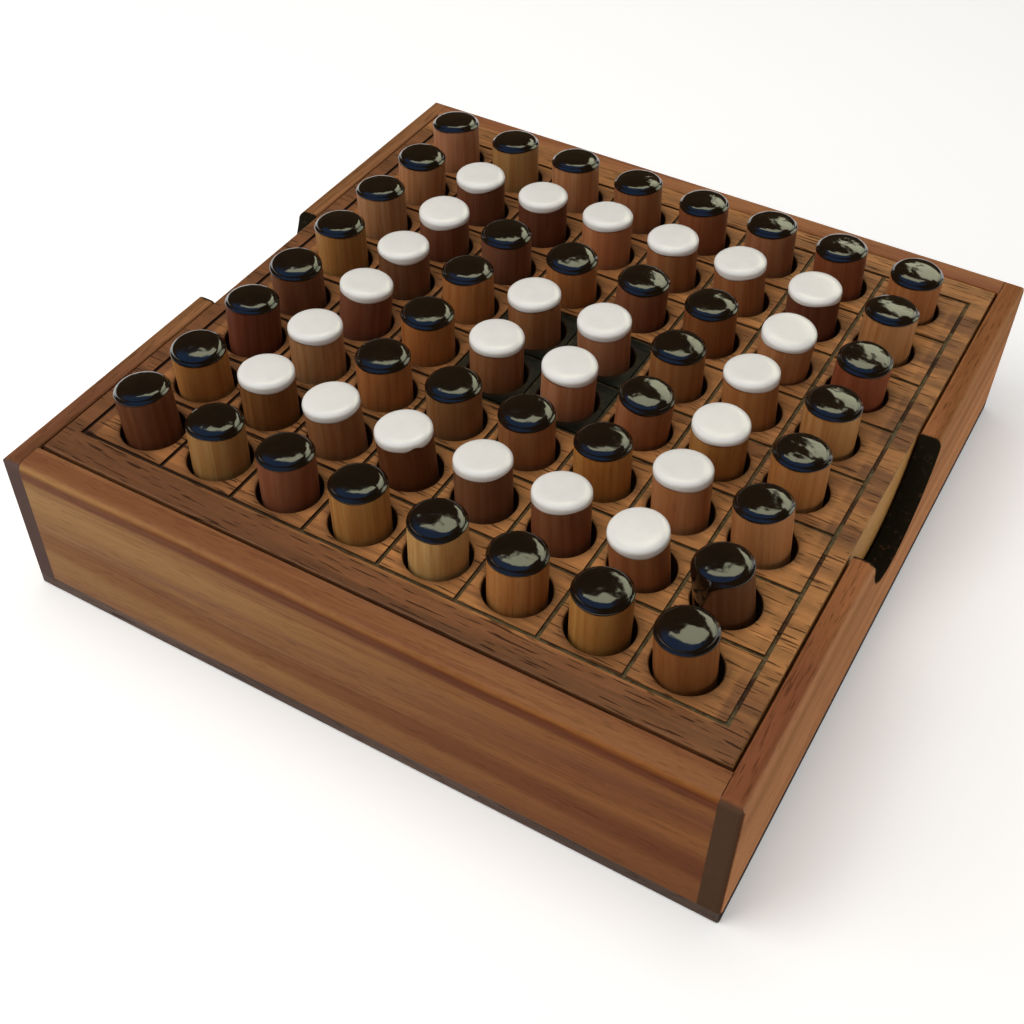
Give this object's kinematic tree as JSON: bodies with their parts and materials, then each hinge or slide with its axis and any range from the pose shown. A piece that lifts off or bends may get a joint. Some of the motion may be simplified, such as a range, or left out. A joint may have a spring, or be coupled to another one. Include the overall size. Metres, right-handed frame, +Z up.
{
  "type": "pegged reversi board",
  "caption": "Square wooden box with a lift-out playing board, peg holes in a ruled grid, two-coloured pegs that lift out, finger notches in the sides and a peg store below.",
  "frame": {"origin": "centre of the box's underside", "axes": "+Z up, +X to the right along the front wall, +Y to the back wall; finger notches at -X and +X"},
  "size_m": [0.181, 0.183, 0.0547],
  "materials": {
    "end_wall_wood": "golden brown long grain with red streaks, satin wax",
    "side_wall_wood": "red-brown long grain, dark end grain at the box's corners, charred finger notch",
    "base_wood": "dark brown thin panel, matt",
    "batten_wood": "pale unfinished softwood strip",
    "board_wood": "open-grained red-brown with dark cut lines, satin",
    "peg_wood": "turned dowels, each from its own stick, tan to dark brown",
    "black_paint": "thick black gloss lacquer on a peg's end",
    "white_paint": "thick white gloss lacquer on a peg's end"
  },
  "bodies": {
    "box": {"base_panel": "base_wood", "front_wall": "end_wall_wood", "back_wall": "end_wall_wood", "left_wall": "side_wall_wood", "right_wall": "side_wall_wood", "front_batten": "batten_wood", "back_batten": "batten_wood"},
    "board": {"board": "board_wood"},
    "outer_corner_pegs": {"outer_corner_pegs": "peg_wood"},
    "second_corner_pegs": {"second_corner_pegs": "peg_wood"},
    "third_corner_pegs": {"third_corner_pegs": "peg_wood"},
    "centre_pegs": {"centre_pegs": "peg_wood"},
    "peg_b1": {"peg_b1": "peg_wood"},
    "peg_c1": {"peg_c1": "peg_wood"},
    "peg_d1": {"peg_d1": "peg_wood"},
    "peg_e1": {"peg_e1": "peg_wood"},
    "peg_f1": {"peg_f1": "peg_wood"},
    "peg_g1": {"peg_g1": "peg_wood"},
    "peg_a2": {"peg_a2": "peg_wood"},
    "peg_c2": {"peg_c2": "peg_wood"},
    "peg_d2": {"peg_d2": "peg_wood"},
    "peg_e2": {"peg_e2": "peg_wood"},
    "peg_f2": {"peg_f2": "peg_wood"},
    "peg_h2": {"peg_h2": "peg_wood"},
    "peg_a3": {"peg_a3": "peg_wood"},
    "peg_b3": {"peg_b3": "peg_wood"},
    "peg_d3": {"peg_d3": "peg_wood"},
    "peg_e3": {"peg_e3": "peg_wood"},
    "peg_g3": {"peg_g3": "peg_wood"},
    "peg_h3": {"peg_h3": "peg_wood"},
    "peg_a4": {"peg_a4": "peg_wood"},
    "peg_b4": {"peg_b4": "peg_wood"},
    "peg_c4": {"peg_c4": "peg_wood"},
    "peg_f4": {"peg_f4": "peg_wood"},
    "peg_g4": {"peg_g4": "peg_wood"},
    "peg_h4": {"peg_h4": "peg_wood"},
    "peg_a5": {"peg_a5": "peg_wood"},
    "peg_b5": {"peg_b5": "peg_wood"},
    "peg_c5": {"peg_c5": "peg_wood"},
    "peg_f5": {"peg_f5": "peg_wood"},
    "peg_g5": {"peg_g5": "peg_wood"},
    "peg_h5": {"peg_h5": "peg_wood"},
    "peg_a6": {"peg_a6": "peg_wood"},
    "peg_b6": {"peg_b6": "peg_wood"},
    "peg_d6": {"peg_d6": "peg_wood"},
    "peg_e6": {"peg_e6": "peg_wood"},
    "peg_g6": {"peg_g6": "peg_wood"},
    "peg_h6": {"peg_h6": "peg_wood"},
    "peg_a7": {"peg_a7": "peg_wood"},
    "peg_c7": {"peg_c7": "peg_wood"},
    "peg_d7": {"peg_d7": "peg_wood"},
    "peg_e7": {"peg_e7": "peg_wood"},
    "peg_f7": {"peg_f7": "peg_wood"},
    "peg_h7": {"peg_h7": "peg_wood"},
    "peg_b8": {"peg_b8": "peg_wood"},
    "peg_c8": {"peg_c8": "peg_wood"},
    "peg_d8": {"peg_d8": "peg_wood"},
    "peg_e8": {"peg_e8": "peg_wood"},
    "peg_f8": {"peg_f8": "peg_wood"},
    "peg_g8": {"peg_g8": "peg_wood"}
  },
  "joints": [
    {"name": "board_lift", "type": "slide", "parent": "box", "child": "board", "axis": [0, 0, 1], "range_m": [0, 0.045]},
    {"name": "outer_corner_pegs_lift", "type": "slide", "parent": "board", "child": "outer_corner_pegs", "axis": [0, 0, 1], "range_m": [0, 0.02]},
    {"name": "second_corner_pegs_lift", "type": "slide", "parent": "board", "child": "second_corner_pegs", "axis": [0, 0, 1], "range_m": [0, 0.02]},
    {"name": "third_corner_pegs_lift", "type": "slide", "parent": "board", "child": "third_corner_pegs", "axis": [0, 0, 1], "range_m": [0, 0.02]},
    {"name": "centre_pegs_lift", "type": "slide", "parent": "board", "child": "centre_pegs", "axis": [0, 0, 1], "range_m": [0, 0.02]},
    {"name": "peg_b1_lift", "type": "slide", "parent": "board", "child": "peg_b1", "axis": [0, 0, 1], "range_m": [0, 0.02]},
    {"name": "peg_c1_lift", "type": "slide", "parent": "board", "child": "peg_c1", "axis": [0, 0, 1], "range_m": [0, 0.02]},
    {"name": "peg_d1_lift", "type": "slide", "parent": "board", "child": "peg_d1", "axis": [0, 0, 1], "range_m": [0, 0.02]},
    {"name": "peg_e1_lift", "type": "slide", "parent": "board", "child": "peg_e1", "axis": [0, 0, 1], "range_m": [0, 0.02]},
    {"name": "peg_f1_lift", "type": "slide", "parent": "board", "child": "peg_f1", "axis": [0, 0, 1], "range_m": [0, 0.02]},
    {"name": "peg_g1_lift", "type": "slide", "parent": "board", "child": "peg_g1", "axis": [0, 0, 1], "range_m": [0, 0.02]},
    {"name": "peg_a2_lift", "type": "slide", "parent": "board", "child": "peg_a2", "axis": [0, 0, 1], "range_m": [0, 0.02]},
    {"name": "peg_c2_lift", "type": "slide", "parent": "board", "child": "peg_c2", "axis": [0, 0, 1], "range_m": [0, 0.02]},
    {"name": "peg_d2_lift", "type": "slide", "parent": "board", "child": "peg_d2", "axis": [0, 0, 1], "range_m": [0, 0.02]},
    {"name": "peg_e2_lift", "type": "slide", "parent": "board", "child": "peg_e2", "axis": [0, 0, 1], "range_m": [0, 0.02]},
    {"name": "peg_f2_lift", "type": "slide", "parent": "board", "child": "peg_f2", "axis": [0, 0, 1], "range_m": [0, 0.02]},
    {"name": "peg_h2_lift", "type": "slide", "parent": "board", "child": "peg_h2", "axis": [0, 0, 1], "range_m": [0, 0.02]},
    {"name": "peg_a3_lift", "type": "slide", "parent": "board", "child": "peg_a3", "axis": [0, 0, 1], "range_m": [0, 0.02]},
    {"name": "peg_b3_lift", "type": "slide", "parent": "board", "child": "peg_b3", "axis": [0, 0, 1], "range_m": [0, 0.02]},
    {"name": "peg_d3_lift", "type": "slide", "parent": "board", "child": "peg_d3", "axis": [0, 0, 1], "range_m": [0, 0.02]},
    {"name": "peg_e3_lift", "type": "slide", "parent": "board", "child": "peg_e3", "axis": [0, 0, 1], "range_m": [0, 0.02]},
    {"name": "peg_g3_lift", "type": "slide", "parent": "board", "child": "peg_g3", "axis": [0, 0, 1], "range_m": [0, 0.02]},
    {"name": "peg_h3_lift", "type": "slide", "parent": "board", "child": "peg_h3", "axis": [0, 0, 1], "range_m": [0, 0.02]},
    {"name": "peg_a4_lift", "type": "slide", "parent": "board", "child": "peg_a4", "axis": [0, 0, 1], "range_m": [0, 0.02]},
    {"name": "peg_b4_lift", "type": "slide", "parent": "board", "child": "peg_b4", "axis": [0, 0, 1], "range_m": [0, 0.02]},
    {"name": "peg_c4_lift", "type": "slide", "parent": "board", "child": "peg_c4", "axis": [0, 0, 1], "range_m": [0, 0.02]},
    {"name": "peg_f4_lift", "type": "slide", "parent": "board", "child": "peg_f4", "axis": [0, 0, 1], "range_m": [0, 0.02]},
    {"name": "peg_g4_lift", "type": "slide", "parent": "board", "child": "peg_g4", "axis": [0, 0, 1], "range_m": [0, 0.02]},
    {"name": "peg_h4_lift", "type": "slide", "parent": "board", "child": "peg_h4", "axis": [0, 0, 1], "range_m": [0, 0.02]},
    {"name": "peg_a5_lift", "type": "slide", "parent": "board", "child": "peg_a5", "axis": [0, 0, 1], "range_m": [0, 0.02]},
    {"name": "peg_b5_lift", "type": "slide", "parent": "board", "child": "peg_b5", "axis": [0, 0, 1], "range_m": [0, 0.02]},
    {"name": "peg_c5_lift", "type": "slide", "parent": "board", "child": "peg_c5", "axis": [0, 0, 1], "range_m": [0, 0.02]},
    {"name": "peg_f5_lift", "type": "slide", "parent": "board", "child": "peg_f5", "axis": [0, 0, 1], "range_m": [0, 0.02]},
    {"name": "peg_g5_lift", "type": "slide", "parent": "board", "child": "peg_g5", "axis": [0, 0, 1], "range_m": [0, 0.02]},
    {"name": "peg_h5_lift", "type": "slide", "parent": "board", "child": "peg_h5", "axis": [0, 0, 1], "range_m": [0, 0.02]},
    {"name": "peg_a6_lift", "type": "slide", "parent": "board", "child": "peg_a6", "axis": [0, 0, 1], "range_m": [0, 0.02]},
    {"name": "peg_b6_lift", "type": "slide", "parent": "board", "child": "peg_b6", "axis": [0, 0, 1], "range_m": [0, 0.02]},
    {"name": "peg_d6_lift", "type": "slide", "parent": "board", "child": "peg_d6", "axis": [0, 0, 1], "range_m": [0, 0.02]},
    {"name": "peg_e6_lift", "type": "slide", "parent": "board", "child": "peg_e6", "axis": [0, 0, 1], "range_m": [0, 0.02]},
    {"name": "peg_g6_lift", "type": "slide", "parent": "board", "child": "peg_g6", "axis": [0, 0, 1], "range_m": [0, 0.02]},
    {"name": "peg_h6_lift", "type": "slide", "parent": "board", "child": "peg_h6", "axis": [0, 0, 1], "range_m": [0, 0.02]},
    {"name": "peg_a7_lift", "type": "slide", "parent": "board", "child": "peg_a7", "axis": [0, 0, 1], "range_m": [0, 0.02]},
    {"name": "peg_c7_lift", "type": "slide", "parent": "board", "child": "peg_c7", "axis": [0, 0, 1], "range_m": [0, 0.02]},
    {"name": "peg_d7_lift", "type": "slide", "parent": "board", "child": "peg_d7", "axis": [0, 0, 1], "range_m": [0, 0.02]},
    {"name": "peg_e7_lift", "type": "slide", "parent": "board", "child": "peg_e7", "axis": [0, 0, 1], "range_m": [0, 0.02]},
    {"name": "peg_f7_lift", "type": "slide", "parent": "board", "child": "peg_f7", "axis": [0, 0, 1], "range_m": [0, 0.02]},
    {"name": "peg_h7_lift", "type": "slide", "parent": "board", "child": "peg_h7", "axis": [0, 0, 1], "range_m": [0, 0.02]},
    {"name": "peg_b8_lift", "type": "slide", "parent": "board", "child": "peg_b8", "axis": [0, 0, 1], "range_m": [0, 0.02]},
    {"name": "peg_c8_lift", "type": "slide", "parent": "board", "child": "peg_c8", "axis": [0, 0, 1], "range_m": [0, 0.02]},
    {"name": "peg_d8_lift", "type": "slide", "parent": "board", "child": "peg_d8", "axis": [0, 0, 1], "range_m": [0, 0.02]},
    {"name": "peg_e8_lift", "type": "slide", "parent": "board", "child": "peg_e8", "axis": [0, 0, 1], "range_m": [0, 0.02]},
    {"name": "peg_f8_lift", "type": "slide", "parent": "board", "child": "peg_f8", "axis": [0, 0, 1], "range_m": [0, 0.02]},
    {"name": "peg_g8_lift", "type": "slide", "parent": "board", "child": "peg_g8", "axis": [0, 0, 1], "range_m": [0, 0.02]}
  ]
}
